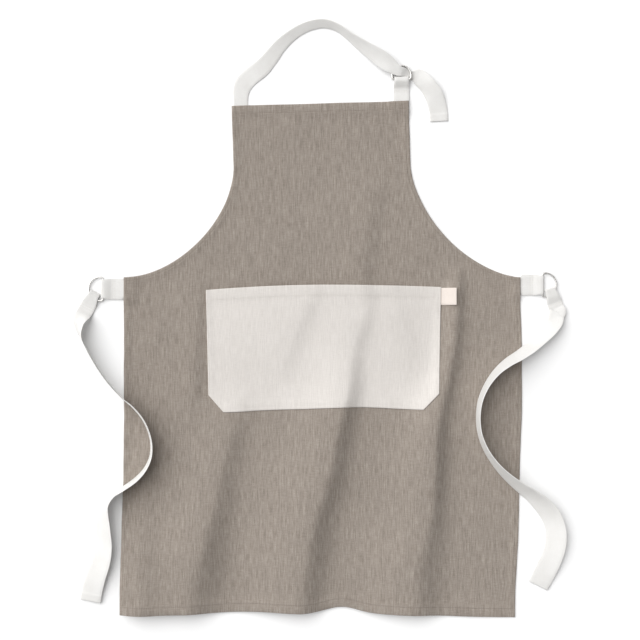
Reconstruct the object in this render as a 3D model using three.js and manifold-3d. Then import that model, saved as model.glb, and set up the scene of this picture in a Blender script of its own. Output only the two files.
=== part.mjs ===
// Kitchen apron laid out flat: bib, curved armholes, skirt, patch pocket, neck strap and two waist ties.
// Millimetres, +Z up, +Y towards the neck, +X to the right; the apron rests on z = 0.
import * as THREE from 'three';
import { mergeVertices } from 'three/addons/utils/BufferGeometryUtils.js';
import Module from 'manifold-3d';

const wasm = await Module();
wasm.setup();

// ---- driving dimensions -------------------------------------------------------------------------
const skirt_width = 678;        // across the lower part
const panel_top = 436;          // height of the bib's top edge above the panel's middle
const panel_bottom = 432;       // depth of the hem below the panel's middle
const bib_width = 302;          // across the top of the bib
const bib_side = 108;           // straight side of the bib above the armhole
const skirt_side_top = 138;     // where the armhole ends on the skirt's side
const cloth = 1.2;              // thickness of the panel's cloth
const hem_thickness = 2.2;      // folded cloth at the hems
const wide_hem = 16;            // hems at the bib's top and the skirt's bottom
const side_hem = 8;             // hems at the sides and the armholes

const pocket_width = 398;
const pocket_depth = 208;
const pocket_top = 121;         // height of the pocket's top corners
const pocket_middle = -1;       // how far the pocket's middle lies from the centre line
const pocket_clip = 26;         // clipped lower corners, along the bottom edge
const pocket_clip_rise = 28;    // and up the sides
const pocket_seam = 9;          // flat margin where the pocket is sewn down
const pocket_gape = 9;          // how far the middle of its mouth stands off the panel
const pocket_crown = 7;         // how far the slack top edge bows towards the neck
const pocket_hem = 18;          // hem along the pocket's mouth

const label_width = 25;
const label_height = 29;
const label_thickness = 1;

const tape = 1.2;               // thickness of the cotton tape
const tie_width = 36;           // width of the two waist ties and their tabs
const strap_width = 31;         // width of the neck strap
const ring_wire = 3;            // wire of the D-rings
const ring_corner = 4;          // radius between a ring's bar and its bow
const ring_shoulder = 6;        // straight stretch before the bow bends round
const waist_ring_bar = 37;      // inner length of the straight side of a waist ring
const waist_ring_reach = 24;    // how far a waist ring reaches out from its bar, between wire centres
const waist_tab_reach = 34;     // how far a waist tab holds its ring off the panel
const left_tab_height = 118;    // height of each waist tab's middle
const right_tab_height = 125;
const neck_ring_bar = 29;
const neck_ring_reach = 23;
const neck_tab_width = 27;
const neck_tab_reach = 38;      // how far the neck tab holds its rings above the bib
const neck_tab_middle = 134;    // how far the neck tab lies right of the centre line
const strap_root = -139;        // how far the strap's sewn end lies left of the centre line
const loop_width = 16;          // a tie's sewn loop, gathered where it passes round the ring
const loop_open = 12;           // how far the loop's two layers stand apart, for the ring's bow
const loop_length = 32;         // from its fold to where it is sewn shut
const stitch_width = 0.8;       // width of a line of stitches
const stitch_height = 0.3;
const gap = 0.3;                // clearance kept between pieces that touch
const floor_gap = 0.1;          // the tapes lie this far off the surface
const tab_open = 3;             // how far a tab's two layers stand apart behind its ring
const tab_slope = 12;           // length over which a folded tape closes behind its ring

// How high a tape must run to pass over the hems and their stitches.
const over_panel = hem_thickness + 2 * gap + stitch_height;
// How high the strap must run to pass over both neck rings.
const over_rings = tape + 3 * gap + 2 * ring_wire + 0.4;

// Each side of the waist: which way is out, where its ring's bar lies, where the tie's loop is folded inside
// the ring, and the way the tie leaves.
const bar_x = skirt_width / 2 + waist_tab_reach;
const fold_reach = 13.6;        // from the ring's bar out to the fold
const waist = {
  left: {
    sign: -1, height: left_tab_height,
    fold: { x: -bar_x - fold_reach, y: left_tab_height - 7.2, heading: [-0.47, -0.883] },
  },
  right: {
    sign: 1, height: right_tab_height,
    fold: { x: bar_x + fold_reach, y: right_tab_height - 8.4, heading: [0.34, -0.94] },
  },
};

// Where the strap comes out from under the neck rings, and which way it points.
const strap_exit = { x: 156.5, y: 480.8, heading: [0.96, -0.28] };

// Tapes run straight ahead for a little way at a sewn or threaded end.
function ahead({ x, y, heading }, distance) {
  return [x + distance * heading[0], y + distance * heading[1]];
}
function tie_route(side, rows) {
  const { sign, fold } = waist[side];
  const start = [0, 7].map((distance) => [...ahead(fold, loop_length + gap + distance), 0, 0]);
  return [...start, ...rows.map(([out, ...rest]) => [sign * (bar_x + out), ...rest])];
}

// Routes of the tapes, laid by hand. Ties: [distance out from the ring's bar, y, lean from flat in degrees,
// lift]. Neck strap: [x, y, lean, lift, width].
const left_tie_route = tie_route('left', [
  [36.3, 66, 20, 0], [37.6, 53, 52, 0], [35, 36, 78, 0], [23, 12, 84, 0], [5, -19, 84, 0],
  [-15, -46, 84, over_panel], [-34, -66, 84, over_panel], [-52, -81, 84, over_panel],
  [-69, -101, 84, over_panel], [-80, -124, 84, over_panel], [-84.5, -146, 84, over_panel],
  [-83, -166, 84, over_panel], [-74, -186, 84, over_panel], [-59, -203, 84, over_panel],
  [-39, -217.5, 84, over_panel], [-21, -229, 80, over_panel], [-8, -243, 66, 0], [-2, -262, 36, 0],
  [-2.5, -290, 14, 0], [-3, -318, 8, 0], [2, -345, 5, 0], [11, -370, 3, 0], [18, -395, 2, 0],
  [21, -412, 0, 0],
]);
const right_tie_route = tie_route('right', [
  [26.5, 71.5, 6, 0], [25.5, 63, 14, 0], [20.5, 53, 30, 0], [11, 44.5, 42, 0],
  [-1, 36.5, 48, over_panel], [-18, 21.5, 54, over_panel], [-40, 6, 60, over_panel],
  [-60, -6, 64, over_panel], [-80, -23, 70, over_panel], [-96, -45, 78, over_panel],
  [-107, -71, 84, over_panel], [-110.5, -98, 86, over_panel], [-108, -125, 84, over_panel],
  [-98, -152, 76, over_panel], [-81, -178, 66, over_panel], [-60, -200, 59, over_panel],
  [-40, -216, 54, over_panel], [-20, -230.5, 48, over_panel], [-2, -246, 38, 0], [13, -265, 28, 0],
  [22, -288, 24, 0], [22.5, -314, 20, 0], [15, -340, 13, 0], [4, -364, 6, 0], [-7, -386, 0, 0],
]);
const neck_strap_route = [
  [strap_root, panel_top + gap, 0, 0, 24], [strap_root, 444, 0, 0, 25], [-138.6, 452, 0, 0, 27],
  [-134, 466, 0, 0, 30], [-122, 479, 0, 0, 30], [-104, 493, 4, 0, 29], [-88, 511, 8, 0, 26],
  [-74, 529, 12, 0, 23], [-57, 545, 16, 0, 20], [-38, 558, 20, 0, 18], [-16, 566.5, 26, 0, 17],
  [6, 568, 38, 0, 17], [27, 560, 54, 0, 18], [46, 546, 54, 0, 20], [66, 531, 40, 1, 23],
  [85, 518, 26, 3, 26], [101, 507, 14, 6, 28], [112, 499, 4, over_rings, 24],
  [120, 493, 0, over_rings, 19], [128, 488, 0, over_rings, 15], [138, 485.8, 0, 3, 13],
  [...ahead(strap_exit, -11), 0, 0, 12], [...ahead(strap_exit, -5.5), 0, 0, 12],
  [...ahead(strap_exit, 0), 0, 0, 15],
];
const strap_tail_route = [
  [...ahead(strap_exit, gap), 0, 0, 15], [...ahead(strap_exit, 5), 0, 0, 18],
  [168.5, 474.3, 6, 0, 25], [178, 463.5, 16, 0, 29], [187, 451, 12, 0], [193, 437, 4, 0],
  [197, 420, 0, 0], [198, 403, 0, 0],
];

// ---- materials ----------------------------------------------------------------------------------
const finish = (color, roughness, metalness = 0) =>
  new THREE.MeshStandardMaterial({ color, roughness, metalness });
const panel_cloth_finish = finish(0x9e9488, 0.95);
const pocket_cloth_finish = finish(0xe0dcd6, 0.92);
const tape_finish = finish(0xf2f1ee, 0.9);
const label_finish = finish(0xf7efe8, 0.9);
const wire_finish = finish(0x8f8d8a, 0.3, 1);
const panel_thread_finish = finish(0xa79c8f, 0.8);
const pale_thread_finish = finish(0xe6e1d8, 0.8);

// ---- helpers ------------------------------------------------------------------------------------
const group = new THREE.Group();
const v3 = (x, y, z) => new THREE.Vector3(x, y, z);
const up = v3(0, 0, 1);

function add(name, geometry, material) {
  const mesh = new THREE.Mesh(geometry, material);
  mesh.name = name;
  group.add(mesh);
  return mesh;
}

function plate(shape, thickness, base) {
  const geometry = new THREE.ExtrudeGeometry(shape, { depth: thickness, bevelEnabled: false });
  geometry.translate(0, 0, base);
  return geometry;
}

function solid(geometry) {
  const bare = geometry.clone();
  bare.deleteAttribute('normal');
  bare.deleteAttribute('uv');
  const merged = mergeVertices(bare, 1e-4);
  return new wasm.Manifold(new wasm.Mesh({
    numProp: 3,
    vertProperties: new Float32Array(merged.attributes.position.array),
    triVerts: new Uint32Array(merged.index.array),
  }));
}

function joined(first, second) {
  const mesh = solid(first).add(solid(second)).getMesh();
  const geometry = new THREE.BufferGeometry();
  geometry.setAttribute('position', new THREE.BufferAttribute(mesh.vertProperties, 3));
  geometry.setIndex(new THREE.BufferAttribute(mesh.triVerts, 1));
  return geometry;
}

// A closed body through a row of sections, each an equal number of points going round it.
function loft(sections, closed = false) {
  const count = sections[0].length;
  const positions = sections.flat().flatMap((p) => [p.x, p.y, p.z]);
  const index = [];
  const steps = closed ? sections.length : sections.length - 1;
  for (let i = 0; i < steps; i += 1) {
    const here = i * count;
    const next = ((i + 1) % sections.length) * count;
    for (let k = 0; k < count; k += 1) {
      const m = (k + 1) % count;
      index.push(here + k, here + m, next + m, here + k, next + m, next + k);
    }
  }
  if (!closed) {
    const last = (sections.length - 1) * count;
    for (let k = 0; k < count / 2 - 1; k += 1) {
      const far = count - 2 - k;
      index.push(k, far, k + 1, k, far + 1, far);
      index.push(last + k, last + k + 1, last + far, last + k, last + far, last + far + 1);
    }
  }
  const geometry = new THREE.BufferGeometry();
  geometry.setAttribute('position', new THREE.Float32BufferAttribute(positions, 3));
  geometry.setIndex(index);
  return geometry;
}

// A flat tape through stations of { point, across, width }: across is the unit direction of its width.
function tape_band(stations, thickness = tape) {
  const sections = stations.map((station, i) => {
    const before = stations[Math.max(i - 1, 0)].point;
    const after = stations[Math.min(i + 1, stations.length - 1)].point;
    const along = after.clone().sub(before).normalize();
    const normal = along.clone().cross(station.across).normalize();
    const side = station.across.clone().multiplyScalar(station.width / 2);
    const rise = normal.multiplyScalar(thickness / 2);
    return [
      station.point.clone().sub(side).sub(rise),
      station.point.clone().add(side).sub(rise),
      station.point.clone().add(side).add(rise),
      station.point.clone().sub(side).add(rise),
    ];
  });
  return loft(sections);
}

// ---- the panel ----------------------------------------------------------------------------------
// The outline, drawn in by the given hems. The armhole is a quarter of an ellipse round the outer corner.
function panel_outline(top_hem, edge_hem, bottom_hem) {
  const skirt = skirt_width / 2;
  const bib = bib_width / 2;
  const centre_y = panel_top - bib_side;
  const reach_x = skirt - bib + edge_hem;
  const reach_y = centre_y - skirt_side_top + edge_hem;
  const last = Math.acos(edge_hem / reach_x);
  const steps = 20;
  const right = [];
  for (let i = 0; i <= steps; i += 1) {
    const angle = last * (i / steps);
    right.push([skirt - reach_x * Math.cos(angle), centre_y - reach_y * Math.sin(angle)]);
  }
  const top_corner = [bib - edge_hem, panel_top - top_hem];
  const side = [top_corner, ...right, [skirt - edge_hem, bottom_hem - panel_bottom]];
  const outline = [...side.slice().reverse(), ...side.map(([x, y]) => [-x, y])];
  return outline.map(([x, y]) => new THREE.Vector2(x, y));
}

const panel_shape = new THREE.Shape(panel_outline(0, 0, 0));
const hem_shape = new THREE.Shape(panel_outline(0, 0, 0));
hem_shape.holes.push(new THREE.Path(panel_outline(wide_hem, side_hem, wide_hem)));
add('apron_panel',
  joined(plate(panel_shape, cloth, 0), plate(hem_shape, hem_thickness - cloth / 2, cloth / 2)),
  panel_cloth_finish);

// ---- the pocket ---------------------------------------------------------------------------------
const pocket_half = pocket_width / 2;
const pocket_bottom = pocket_top - pocket_depth;
const pocket_base = cloth + gap;

// How far the pocket stands off the panel: nothing along its sewn sides, most at the middle of its mouth.
function pocket_stand_off(across, share_up) {
  const inside = Math.min(1, Math.abs(across) / (pocket_half - pocket_seam));
  const rise = THREE.MathUtils.smoothstep(share_up, 0.15, 1);
  return pocket_gape * (1 - inside ** 2) * rise;
}

function pocket_mouth(across) {
  return pocket_top + pocket_crown * (1 - (across / pocket_half) ** 2);
}

function pocket_body() {
  const clip_start = pocket_half - pocket_clip;
  const columns = [-pocket_half, -pocket_half + pocket_seam];
  const spans = 16;
  for (let i = 0; i <= spans; i += 1) columns.push(-clip_start + (2 * clip_start * i) / spans);
  columns.push(pocket_half - pocket_seam, pocket_half);
  const rows = 12;
  const sections = columns.map((across) => {
    const past_clip = Math.max(0, Math.abs(across) - clip_start);
    const low = pocket_bottom + (pocket_clip_rise * past_clip) / pocket_clip;
    const high = pocket_mouth(across);
    const under = [];
    for (let k = 0; k <= rows; k += 1) {
      const y = low + ((high - low) * k) / rows;
      const share_up = (y - pocket_bottom) / (high - pocket_bottom);
      under.push(v3(pocket_middle + across, y, pocket_base + pocket_stand_off(across, share_up)));
    }
    const over = under.map((p) => p.clone().add(v3(0, 0, cloth))).reverse();
    return [...under, ...over];
  });
  return loft(sections);
}
add('pocket', pocket_body(), pocket_cloth_finish);

const label = new THREE.BoxGeometry(label_width, label_height, label_thickness);
label.translate(
  pocket_middle + pocket_half + gap + label_width / 2,
  pocket_top - label_height / 2,
  pocket_base + label_thickness / 2,
);
add('pocket_label', label, label_finish);

// ---- lines of stitches --------------------------------------------------------------------------
// A closed thin band through points that lie on the cloth.
function stitch_line(name, points, material) {
  const stations = points.map((point, i) => {
    const before = points[Math.max(i - 1, 0)];
    const after = points[Math.min(i + 1, points.length - 1)];
    const along = after.clone().sub(before).normalize();
    const lifted = point.clone().add(v3(0, 0, gap + stitch_height / 2));
    return { point: lifted, across: up.clone().cross(along).normalize(), width: stitch_width };
  });
  add(name, tape_band(stations, stitch_height), material);
}

const hem_line = 2;             // stitches run this far outside the hem's inner fold
const bottom_y = -panel_bottom + wide_hem - hem_line;
const top_y = panel_top - wide_hem + hem_line;
const skirt_end = skirt_width / 2 - side_hem;
const bib_end = bib_width / 2 - side_hem;
stitch_line('skirt_hem_stitching',
  [v3(-skirt_end, bottom_y, hem_thickness), v3(skirt_end, bottom_y, hem_thickness)], panel_thread_finish);
stitch_line('bib_hem_stitching',
  [v3(-bib_end, top_y, hem_thickness), v3(bib_end, top_y, hem_thickness)], panel_thread_finish);

const edge_line = panel_outline(wide_hem, side_hem - hem_line, wide_hem);
const edge_points = edge_line.length / 2;
for (const [name, from] of [['right_edge_stitching', 0], ['left_edge_stitching', edge_points]]) {
  const points = edge_line.slice(from, from + edge_points);
  stitch_line(name, points.map((p) => v3(p.x, p.y, hem_thickness)), panel_thread_finish);
}

const mouth_line = [];
const mouth_steps = 16;
const mouth_reach = pocket_half - pocket_seam;
for (let i = 0; i <= mouth_steps; i += 1) {
  const across = mouth_reach * ((2 * i) / mouth_steps - 1);
  const y = pocket_mouth(across) - pocket_hem;
  const share_up = (y - pocket_bottom) / (pocket_mouth(across) - pocket_bottom);
  const z = pocket_base + cloth + pocket_stand_off(across, share_up);
  mouth_line.push(v3(pocket_middle + across, y, z));
}
stitch_line('pocket_hem_stitching', mouth_line, pale_thread_finish);

const seam_line = 3;            // the pocket is sewn down this far inside its edge
const seam_x = pocket_half - seam_line;
const seam_low = pocket_bottom + seam_line;
const seam_clip_x = pocket_half - pocket_clip - seam_line / 2;
const seam_clip_y = pocket_bottom + pocket_clip_rise + seam_line / 2;
const seam_outline = [
  [-seam_x, pocket_top - seam_line], [-seam_x, seam_clip_y], [-seam_clip_x, seam_low],
  [seam_clip_x, seam_low], [seam_x, seam_clip_y], [seam_x, pocket_top - seam_line],
];
stitch_line('pocket_seam_stitching',
  seam_outline.map(([x, y]) => v3(pocket_middle + x, y, pocket_base + cloth)), pale_thread_finish);

// ---- rings --------------------------------------------------------------------------------------
// A D-ring whose bar lies along Y at x = 0 and whose bow reaches out to +X.
function d_ring(bar, reach) {
  const half = bar / 2 + ring_wire / 2;
  const path = new THREE.CurvePath();
  const flat = (x, y) => new THREE.Vector2(x, y);
  path.add(new THREE.LineCurve(flat(0, half - ring_corner), flat(0, ring_corner - half)));
  path.add(new THREE.EllipseCurve(ring_corner, ring_corner - half, ring_corner, ring_corner,
    Math.PI, Math.PI * 1.5));
  path.add(new THREE.LineCurve(flat(ring_corner, -half), flat(ring_shoulder, -half)));
  path.add(new THREE.EllipseCurve(ring_shoulder, 0, reach - ring_shoulder, half, -Math.PI / 2, Math.PI / 2));
  path.add(new THREE.LineCurve(flat(ring_shoulder, half), flat(ring_corner, half)));
  path.add(new THREE.EllipseCurve(ring_corner, half - ring_corner, ring_corner, ring_corner,
    Math.PI / 2, Math.PI));
  const steps = 44;
  const sides = 8;
  const sections = [];
  for (let i = 0; i < steps; i += 1) {
    const centre = path.getPoint(i / steps);
    const before = path.getPoint(((i - 0.5) / steps + 1) % 1);
    const after = path.getPoint(((i + 0.5) / steps) % 1);
    const along = v3(after.x - before.x, after.y - before.y, 0).normalize();
    const outward = along.clone().cross(up);
    const section = [];
    for (let k = 0; k < sides; k += 1) {
      const turn = (2 * Math.PI * k) / sides;
      section.push(v3(centre.x, centre.y, 0)
        .addScaledVector(outward, (ring_wire / 2) * Math.cos(turn))
        .addScaledVector(up, (-ring_wire / 2) * Math.sin(turn)));
    }
    sections.push(section);
  }
  return loft(sections, true);
}

// ---- folded tapes -------------------------------------------------------------------------------
// A tape folded back on itself round a ring: two layers, open for a while behind the fold, then sewn shut.
// It is folded at the origin, runs out along +X, and encloses wires stacked up to the given height.
function folded_tape({ stack, fold_width, width, open, length }) {
  const low = floor_gap + tape / 2;
  const high = low + stack + 2 * gap + tape;
  const radius = (high - low) / 2;
  const across = v3(0, 1, 0);
  const shut = low + tape + gap;
  const widened = (x) => Math.min(1, Math.max(0, x / (open + tab_slope)));
  const width_at = (x) => THREE.MathUtils.lerp(fold_width, width, widened(x));
  const station = (x, z) => ({ point: v3(x, 0, z), across, width: width_at(x) });
  const stations = [station(length, low), station(open, low)];
  const turns = 10;
  for (let i = 0; i <= turns; i += 1) {
    const angle = (Math.PI * i) / turns;
    stations.push(station(-radius * Math.sin(angle), (low + high) / 2 - radius * Math.cos(angle)));
  }
  stations.push(station(open, high), station(open + tab_slope, shut), station(length, shut));
  return tape_band(stations);
}

// The straight stretch of a ring's bar, inside its corners.
const bar_seat = (bar) => bar - 2 * ring_corner + ring_wire;
const waist_wire_height = floor_gap + tape + gap + ring_wire / 2;
for (const [side, { sign, height, fold }] of Object.entries(waist)) {
  const outward = sign > 0 ? 0 : Math.PI;
  const fold_width = bar_seat(waist_ring_bar);
  const tab_shape = { stack: ring_wire, fold_width, width: tie_width, open: tab_open };
  const tab = add(`${side}_waist_tab`,
    folded_tape({ ...tab_shape, length: waist_tab_reach - gap }), tape_finish);
  tab.position.set(sign * bar_x, height, 0);
  tab.rotation.z = outward + Math.PI;

  const ring = add(`${side}_waist_ring`, d_ring(waist_ring_bar, waist_ring_reach), wire_finish);
  ring.position.set(sign * bar_x, height, waist_wire_height);
  ring.rotation.z = outward;

  const loop_shape = { stack: ring_wire, fold_width: loop_width, width: tie_width, open: loop_open };
  const loop = add(`${side}_tie_loop`, folded_tape({ ...loop_shape, length: loop_length }), tape_finish);
  loop.position.set(fold.x, fold.y, 0);
  loop.rotation.z = Math.atan2(fold.heading[1], fold.heading[0]);
}

const neck_bar_y = panel_top + neck_tab_reach;
const neck_stack = 2 * ring_wire + gap;
const neck_tab = add('neck_ring_tab', folded_tape({
  stack: neck_stack, fold_width: bar_seat(neck_ring_bar), width: neck_tab_width, open: tab_open,
  length: neck_tab_reach - gap,
}), tape_finish);
neck_tab.position.set(neck_tab_middle, neck_bar_y, 0);
neck_tab.rotation.z = -Math.PI / 2;
for (const [name, level] of [['neck_ring_back', 0], ['neck_ring_front', 1]]) {
  const ring = add(name, d_ring(neck_ring_bar, neck_ring_reach), wire_finish);
  ring.position.set(neck_tab_middle, neck_bar_y, waist_wire_height + level * (ring_wire + gap));
  ring.rotation.z = Math.PI / 2;
}

// ---- the long tapes -----------------------------------------------------------------------------
// A tape along a route. It rests on its lower edge however far it leans.
function laid_tape(route, width) {
  const place = new THREE.CatmullRomCurve3(route.map(([x, y]) => v3(x, y, 0)), false, 'centripetal');
  const manner = new THREE.CatmullRomCurve3(
    route.map(([, , lean, lift, own_width]) => v3(lean, lift, own_width ?? width)), false, 'catmullrom', 0.4);
  const steps = 3 * (route.length - 1);
  const stations = [];
  for (let i = 0; i <= steps; i += 1) {
    const share = i / steps;
    const point = place.getPoint(share);
    const along = place.getTangent(share);
    const { x: lean_degrees, y: lift, z: here_width } = manner.getPoint(share);
    const lean = THREE.MathUtils.degToRad(Math.max(0, lean_degrees));
    const across = up.clone().cross(along).multiplyScalar(Math.cos(lean)).addScaledVector(up, Math.sin(lean));
    point.z = floor_gap + Math.max(0, lift) + (here_width * Math.sin(lean) + tape * Math.cos(lean)) / 2;
    stations.push({ point, across: across.normalize(), width: here_width });
  }
  return tape_band(stations);
}
add('neck_strap', laid_tape(neck_strap_route, strap_width), tape_finish);
add('neck_strap_tail', laid_tape(strap_tail_route, strap_width), tape_finish);
add('left_waist_tie', laid_tape(left_tie_route, tie_width), tape_finish);
add('right_waist_tie', laid_tape(right_tie_route, tie_width), tape_finish);

export default group;
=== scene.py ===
import math

import bpy
import numpy as np
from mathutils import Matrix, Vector
from mathutils.geometry import delaunay_2d_cdt


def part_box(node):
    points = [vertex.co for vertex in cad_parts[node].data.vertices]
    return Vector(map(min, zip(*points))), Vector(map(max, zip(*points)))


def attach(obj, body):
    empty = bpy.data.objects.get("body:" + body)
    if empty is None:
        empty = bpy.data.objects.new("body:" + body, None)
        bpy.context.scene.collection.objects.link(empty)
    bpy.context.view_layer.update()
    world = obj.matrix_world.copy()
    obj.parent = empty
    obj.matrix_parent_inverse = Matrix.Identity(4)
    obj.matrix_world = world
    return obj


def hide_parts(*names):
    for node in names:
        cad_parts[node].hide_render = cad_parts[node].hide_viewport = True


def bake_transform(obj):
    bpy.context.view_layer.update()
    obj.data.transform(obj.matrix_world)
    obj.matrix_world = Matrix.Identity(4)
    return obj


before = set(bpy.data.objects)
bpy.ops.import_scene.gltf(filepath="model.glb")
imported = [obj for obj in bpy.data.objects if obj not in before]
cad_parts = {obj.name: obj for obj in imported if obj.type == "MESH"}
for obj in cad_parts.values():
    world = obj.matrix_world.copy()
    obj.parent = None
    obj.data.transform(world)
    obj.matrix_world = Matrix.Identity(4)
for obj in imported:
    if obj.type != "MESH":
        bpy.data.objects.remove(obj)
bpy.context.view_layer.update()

scene = bpy.context.scene

# ---- sizes ---------------------------------------------------------------------------------------
side_hem = 0.008
bib_side = 0.108                # straight side of the bib above the armhole
skirt_side_top = 0.138          # where the armhole ends on the skirt's side
cloth = 0.0011
hem_height = 0.0022
tape = 0.0012
tie_width = 0.036
strap_width = 0.031
wire = 0.003
gap = 0.0003
floor_gap = 0.0001
tuck = 0.013                    # how far a sewn tape runs in under the panel's edge
end_hem = 0.012                 # turned-in end of a tie and of the strap's tail

panel_low, panel_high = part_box("apron_panel")
skirt, top, bottom = panel_high.x, panel_high.y, panel_low.y
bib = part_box("bib_hem_stitching")[1].x + side_hem
pocket_low, pocket_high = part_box("pocket")
pocket_half = (pocket_high.x - pocket_low.x) / 2
pocket_middle = (pocket_high.x + pocket_low.x) / 2
pocket_bottom = pocket_low.y
pocket_crown = 0.007
pocket_top = pocket_high.y - pocket_crown
pocket_clip, pocket_clip_rise = 0.026, 0.028
pocket_seam = 0.009             # flat margin where the pocket is sewn down
pocket_gape = 0.009             # how far the middle of its mouth stands off the panel
pocket_hem = 0.018
seam_line = 0.003               # how far in from the pocket's edge its seam runs

chance = np.random.default_rng(11)


def ease(start, end, value):
    """0 before start, 1 after end, smooth between them."""
    share = np.clip((value - start) / (end - start), 0, 1)
    return share * share * (3 - 2 * share)


def hump(value, middle, spread):
    """1 at the middle, falling away smoothly on both sides."""
    return np.exp(-(((value - middle) / spread) ** 2))


# ---- camera, light and floor ---------------------------------------------------------------------
camera_data = bpy.data.cameras.new("camera")
camera_data.sensor_width = 36
camera_data.lens = 79.4
camera = bpy.data.objects.new("camera", camera_data)
camera.location = (-0.00425, 0.06545, 2.4)
scene.collection.objects.link(camera)
scene.camera = camera

key = bpy.data.lights.new("key", "SUN")
key.energy = 3.3
key.angle = math.radians(75)
key_object = bpy.data.objects.new("key", key)
key_object.rotation_euler = Vector((-0.55, 0.40, 0.80)).to_track_quat("Z", "Y").to_euler()
scene.collection.objects.link(key_object)

world = bpy.data.worlds.new("studio")
world.use_nodes = True
world.node_tree.nodes["Background"].inputs["Color"].default_value = (1, 1, 1, 1)
world.node_tree.nodes["Background"].inputs["Strength"].default_value = 0.32
scene.world = world
scene.view_settings.view_transform = "Standard"


# ---- materials -----------------------------------------------------------------------------------
class Finish:
    """A material, and short ways to add nodes to it."""

    def __init__(self, name, roughness, metallic=0.0, sheen=0.0):
        self.material = bpy.data.materials.new(name)
        self.material.use_nodes = True
        self.tree = self.material.node_tree
        self.shader = self.tree.nodes["Principled BSDF"]
        self.shader.inputs["Roughness"].default_value = roughness
        self.shader.inputs["Metallic"].default_value = metallic
        self.shader.inputs["Sheen Weight"].default_value = sheen
        self.shader.inputs["Sheen Roughness"].default_value = 0.5

    def put(self, socket, value):
        """Links a socket to another one, or sets its value."""
        if isinstance(value, bpy.types.NodeSocket):
            self.tree.links.new(value, socket)
        else:
            socket.default_value = value

    def node(self, kind, inputs=(), **settings):
        made = self.tree.nodes.new(kind)
        for name, value in settings.items():
            setattr(made, name, value)
        for name, value in dict(inputs).items():
            self.put(made.inputs[name], value)
        return made

    def sum(self, operation, *values):
        """One step of arithmetic."""
        made = self.node("ShaderNodeMath", operation=operation)
        for socket, value in zip(made.inputs, values):
            self.put(socket, value)
        return made.outputs[0]

    def between(self, value, low, high, to_low=0.0, to_high=1.0):
        """A value's place between two others, stretched to a new span."""
        made = self.node("ShaderNodeMapRange", {
            "Value": value, "From Min": low, "From Max": high, "To Min": to_low, "To Max": to_high})
        return made.outputs["Result"]

    def mix(self, share, first, second):
        made = self.node("ShaderNodeMix", data_type="RGBA")
        self.put(made.inputs["Factor"], share)
        self.put(made.inputs["A"], first)
        self.put(made.inputs["B"], second)
        return made.outputs["Result"]

    def place(self, across, along):
        made = self.node("ShaderNodeCombineXYZ", {"X": across, "Y": along})
        return made.outputs["Vector"]

    def noise(self, vector, scale=1.0, detail=2.0, roughness=0.55):
        made = self.node("ShaderNodeTexNoise", {
            "Vector": vector, "Scale": scale, "Detail": detail, "Roughness": roughness})
        return made.outputs["Fac"]

    def bump(self, height, distance, strength):
        made = self.node("ShaderNodeBump", {"Height": height, "Distance": distance, "Strength": strength})
        self.put(self.shader.inputs["Normal"], made.outputs["Normal"])

    def split(self, source):
        """The two directions of a pattern: the object's own place, or the tape's length and width."""
        coordinates = self.node("ShaderNodeTexCoord")
        parts = self.node("ShaderNodeSeparateXYZ", {"Vector": coordinates.outputs[source]})
        return parts.outputs["X"], parts.outputs["Y"]


def streaks(finish, across, along, thickness, length, detail=2.0):
    """Uneven yarn: marks far longer than they are thick."""
    vector = finish.place(finish.sum("DIVIDE", across, thickness), finish.sum("DIVIDE", along, length))
    return finish.noise(vector, detail=detail)


def colour(red, green, blue):
    """A colour as the eye reads it, 0 to 255, made linear."""
    return tuple(
        (v / 12.92 if v <= 0.04045 else ((v + 0.055) / 1.055) ** 2.4)
        for v in (red / 255, green / 255, blue / 255)) + (1.0,)


def linen_finish(name, dark, pale, pitch, slub, contrast):
    """The finished linen: dark and pale yarns, tone that drifts in long streaks, and the weave's relief."""
    made = Finish(name, roughness=0.92, sheen=0.12)
    x, y = made.split("Object")
    wander = made.noise(made.place(x, y), scale=140, detail=2)
    wander = made.sum("MULTIPLY", made.sum("SUBTRACT", wander, 0.5), pitch * 1.2)
    turn = 2 * math.pi / pitch
    warp_wave = made.sum("SINE", made.sum("MULTIPLY", made.sum("ADD", x, wander), turn))
    weft_wave = made.sum("SINE", made.sum("MULTIPLY", made.sum("ADD", y, wander), turn))
    over = made.between(made.sum("MULTIPLY", warp_wave, weft_wave), -0.35, 0.35)
    warp_streak = streaks(made, x, y, 0.0018, 0.022)
    weft_streak = streaks(made, y, x, 0.0016, 0.012)
    broad = streaks(made, x, y, 0.006, 0.07, detail=3)
    flecks = made.noise(made.place(x, y), scale=520, detail=4, roughness=0.7)
    warp = made.mix(made.between(warp_streak, 0.5 - slub, 0.5 + slub), dark, pale)
    weft = made.mix(made.between(weft_streak, 0.5 - 2.4 * slub, 0.5 + 2.4 * slub), dark, pale)
    woven = made.mix(over, weft, warp)
    tone = made.sum(
        "ADD", made.between(broad, 0.3, 0.7, -contrast, contrast),
        made.between(flecks, 0.3, 0.7, -contrast, contrast))
    varied = made.node("ShaderNodeHueSaturation", {"Color": woven, "Value": made.sum("ADD", tone, 1.0)})
    made.put(made.shader.inputs["Base Color"], varied.outputs["Color"])
    relief = made.sum(
        "ADD", made.sum("MULTIPLY", made.sum("ABSOLUTE", warp_wave), made.sum("ABSOLUTE", weft_wave)),
        made.sum("ADD", warp_streak, made.sum("MULTIPLY", weft_streak, 0.6)))
    made.bump(relief, 0.00022, 0.8)
    return made.material


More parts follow.
